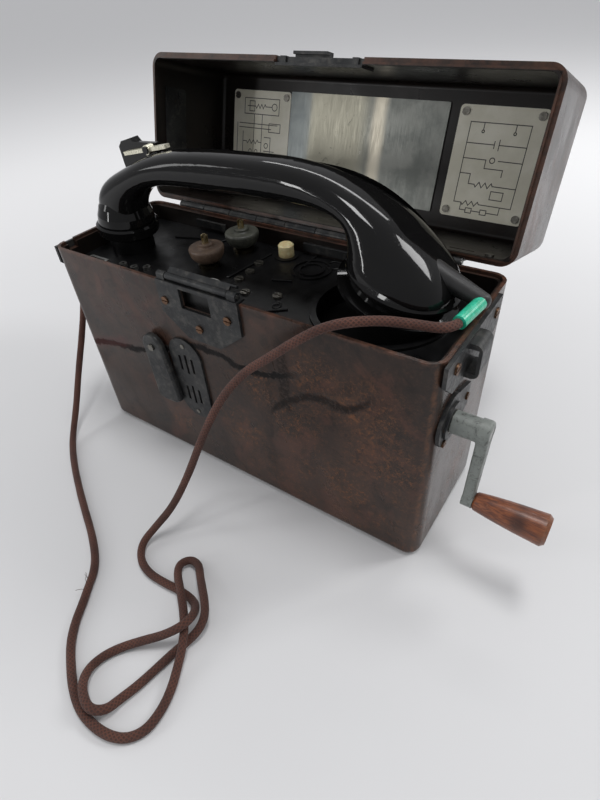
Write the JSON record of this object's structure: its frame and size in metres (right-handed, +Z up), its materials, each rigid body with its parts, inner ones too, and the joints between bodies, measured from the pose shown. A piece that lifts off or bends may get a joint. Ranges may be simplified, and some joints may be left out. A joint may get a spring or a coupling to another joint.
{
  "type": "portable crank field telephone",
  "caption": "Portable field telephone: hinged moulded case with open lid, side crank generator, control panel, handset lying across it and a braided handset cord.",
  "frame": {"origin": "centre of the case base, on the surface that the case stands on", "axes": "+X towards the crank side along the case, +Y towards the hinge side, +Z up"},
  "size_m": [0.3678, 0.3688, 0.2452],
  "materials": {
    "brown_phenolic": "worn marbled satin",
    "black_phenolic": "satin",
    "handset_phenolic": "polished",
    "blackened_steel": "worn satin",
    "bare_steel": "satin",
    "spring_steel": "plain",
    "screw_brass": "worn slotted heads",
    "terminal_brass": "worn",
    "gong_bronze": "dull",
    "grey_enamel": "chipped satin enamel",
    "varnished_wood": "varnished",
    "card_enamel": "printed line art",
    "zinc_sheet": "dull, scratched",
    "knob_red": "worn",
    "knob_grey": "worn",
    "button_cream": "satin",
    "green_sleeve": "satin",
    "brown_braid": "braided cotton",
    "magnet_iron": "rough",
    "copper_winding": "enamelled wire",
    "battery_card": "waxed card",
    "capacitor_can": "satin",
    "armature_iron": "laminated"
  },
  "bodies": {
    "case": {"auxiliary_sockets": "bare_steel", "bell_gongs": "gong_bronze", "button_housing": "black_phenolic", "button_spring": "spring_steel", "capacitor": "capacitor_can", "case_screws": "screw_brass", "case_shell": "brown_phenolic", "chassis_plate": "bare_steel", "cord_grommet": "black_phenolic", "crank_bearing": "terminal_brass", "crank_escutcheon": "blackened_steel", "dry_battery": "battery_card", "generator_frame": "bare_steel", "generator_magnets": "magnet_iron", "handset_cord": "brown_braid", "hinge_case_leaf": "blackened_steel", "hinge_pin": "bare_steel", "induction_coil": "copper_winding", "instrument_panel": "black_phenolic", "latch_pin": "bare_steel", "latch_plate": "blackened_steel", "line_terminals": "terminal_brass", "panel_screws": "bare_steel", "rear_wall_clips": "blackened_steel", "ringer_coils": "copper_winding", "ringer_frame": "bare_steel", "strap_brackets": "blackened_steel", "transmitter_well": "black_phenolic", "vent_plate": "blackened_steel", "vent_rivets": "screw_brass"},
    "lid": {"lid_shell": "brown_phenolic", "lid_catch": "blackened_steel", "diagram_plates": "card_enamel", "lid_metal_sheet": "zinc_sheet", "lid_screws": "screw_brass", "lid_side_plate": "blackened_steel", "hinge_lid_leaf": "blackened_steel"},
    "latch": {"latch_lever": "blackened_steel"},
    "shutter": {"vent_shutter": "blackened_steel"},
    "button": {"push_button": "button_cream"},
    "terminal_front": {"terminal_knob_front": "knob_red"},
    "terminal_rear": {"terminal_knob_rear": "knob_grey"},
    "crank": {"crank_shaft": "bare_steel", "crank_sleeve": "grey_enamel", "drive_gear": "terminal_brass", "crank_arm": "grey_enamel", "handle_pin": "bare_steel"},
    "crank_grip": {"crank_handle": "varnished_wood"},
    "rotor": {"rotor_armature": "armature_iron", "rotor_pinion": "bare_steel"},
    "clapper": {"bell_clapper": "bare_steel"},
    "handset": {"handset_body": "handset_phenolic", "receiver_cap": "handset_phenolic", "receiver_capsule": "capacitor_can", "transmitter_cap": "handset_phenolic", "transmitter_capsule": "capacitor_can", "talk_key_bracket": "handset_phenolic", "cord_relief": "handset_phenolic", "cord_sleeve": "green_sleeve"},
    "key": {"talk_key": "terminal_brass"}
  },
  "joints": [
    {"name": "lid_hinge", "type": "hinge", "parent": "case", "child": "lid", "pos_m": [0, 0.0495, 0.15], "axis": [1, 0, 0], "range_deg": [0, 86]},
    {"name": "latch_pivot", "type": "hinge", "parent": "case", "child": "latch", "pos_m": [-0.006, -0.0463, 0.1538], "axis": [1, 0, 0], "range_deg": [0, 75], "stiffness_Nm_per_rad": 0.05, "springref_deg": -5.73},
    {"name": "shutter_pivot", "type": "hinge", "parent": "case", "child": "shutter", "pos_m": [-0.053, -0.0475, 0.1], "axis": [0, -1, 0], "range_deg": [-4, 40]},
    {"name": "button_press", "type": "slide", "parent": "case", "child": "button", "axis": [0, 0, -1], "range_m": [0, 0.004], "stiffness_N_per_m": 300, "springref_m": -0.003, "deforming": ["button_spring"]},
    {"name": "terminal_front_turn", "type": "hinge", "parent": "case", "child": "terminal_front", "pos_m": [-0.0405, -0.0005, 0.145], "axis": [0, 0, 1], "range_deg": [0, 720]},
    {"name": "terminal_rear_turn", "type": "hinge", "parent": "case", "child": "terminal_rear", "pos_m": [-0.0345, 0.0285, 0.145], "axis": [0, 0, 1], "range_deg": [0, 720]},
    {"name": "crank_turn", "type": "hinge", "parent": "case", "child": "crank", "pos_m": [0.12, -0.028, 0.105], "axis": [1, 0, 0], "continuous": true},
    {"name": "grip_spin", "type": "hinge", "parent": "crank", "child": "crank_grip", "pos_m": [0.165, -0.03281, 0.05925], "axis": [1, 0, 0], "continuous": true},
    {"name": "rotor_turn", "type": "hinge", "parent": "case", "child": "rotor", "pos_m": [0.08, -0.01669, 0.09369], "axis": [1, 0, 0], "continuous": true},
    {"name": "clapper_rock", "type": "hinge", "parent": "case", "child": "clapper", "pos_m": [-0.028, -0.028, 0.046], "axis": [0, 1, 0], "range_deg": [-3, 3], "stiffness_Nm_per_rad": 0.01},
    {"name": "handset_lift", "type": "slide", "parent": "case", "child": "handset", "axis": [0, 0, -1], "range_m": [-0.04, 0]},
    {"name": "key_rock", "type": "hinge", "parent": "handset", "child": "key", "pos_m": [-0.07782, 0.00588, 0.204], "axis": [-0.0384, 0.9993, 0], "range_deg": [0, 3], "stiffness_Nm_per_rad": 0.03, "springref_deg": -5.73}
  ],
  "couplings": [
    {"joint": "rotor_turn", "follows": "crank_turn", "ratio": -4}
  ]
}
